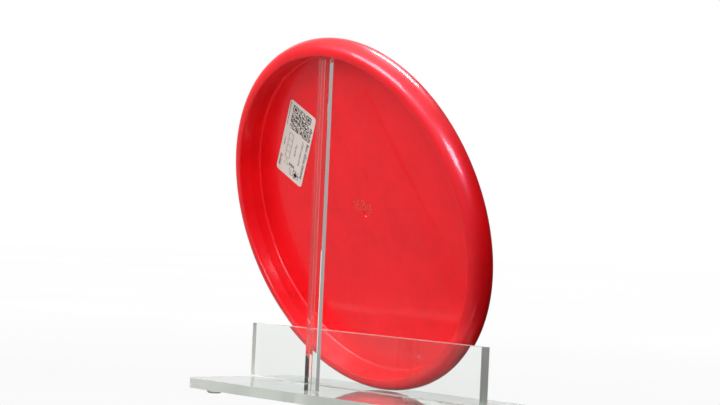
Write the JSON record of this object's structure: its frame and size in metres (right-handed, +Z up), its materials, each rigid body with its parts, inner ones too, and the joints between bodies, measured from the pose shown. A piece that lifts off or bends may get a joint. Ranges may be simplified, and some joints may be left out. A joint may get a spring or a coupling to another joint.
{
  "type": "disc golf disc on display stand",
  "caption": "Red golf disc leaning on a clear acrylic display stand with an upright square post, a low panel and a flat base.",
  "frame": {"origin": "on the ground, under the middle of the stand and of the disc", "axes": "+Z up; -Y is the side of the post and of the disc's open underside; +X is to the right when looking along +Y"},
  "size_m": [0.212, 0.092, 0.2115],
  "materials": {
    "disc_plastic": "glossy, slightly pearly",
    "label_paper": "satin paper, printed",
    "clear_acrylic": "clear, polished",
    "bumper": "clear soft urethane"
  },
  "bodies": {
    "stand": {"base_plate": "clear_acrylic", "rest_panel": "clear_acrylic", "post": "clear_acrylic", "foot_front_left": "bumper", "foot_rear_left": "bumper", "foot_front_right": "bumper", "foot_rear_right": "bumper"},
    "disc": {"disc": "disc_plastic", "price_label": "label_paper"}
  },
  "joints": [
    {"name": "disc_lift", "type": "slide", "parent": "stand", "child": "disc", "axis": [0, 0, 1], "range_m": [0, 0.205]}
  ]
}
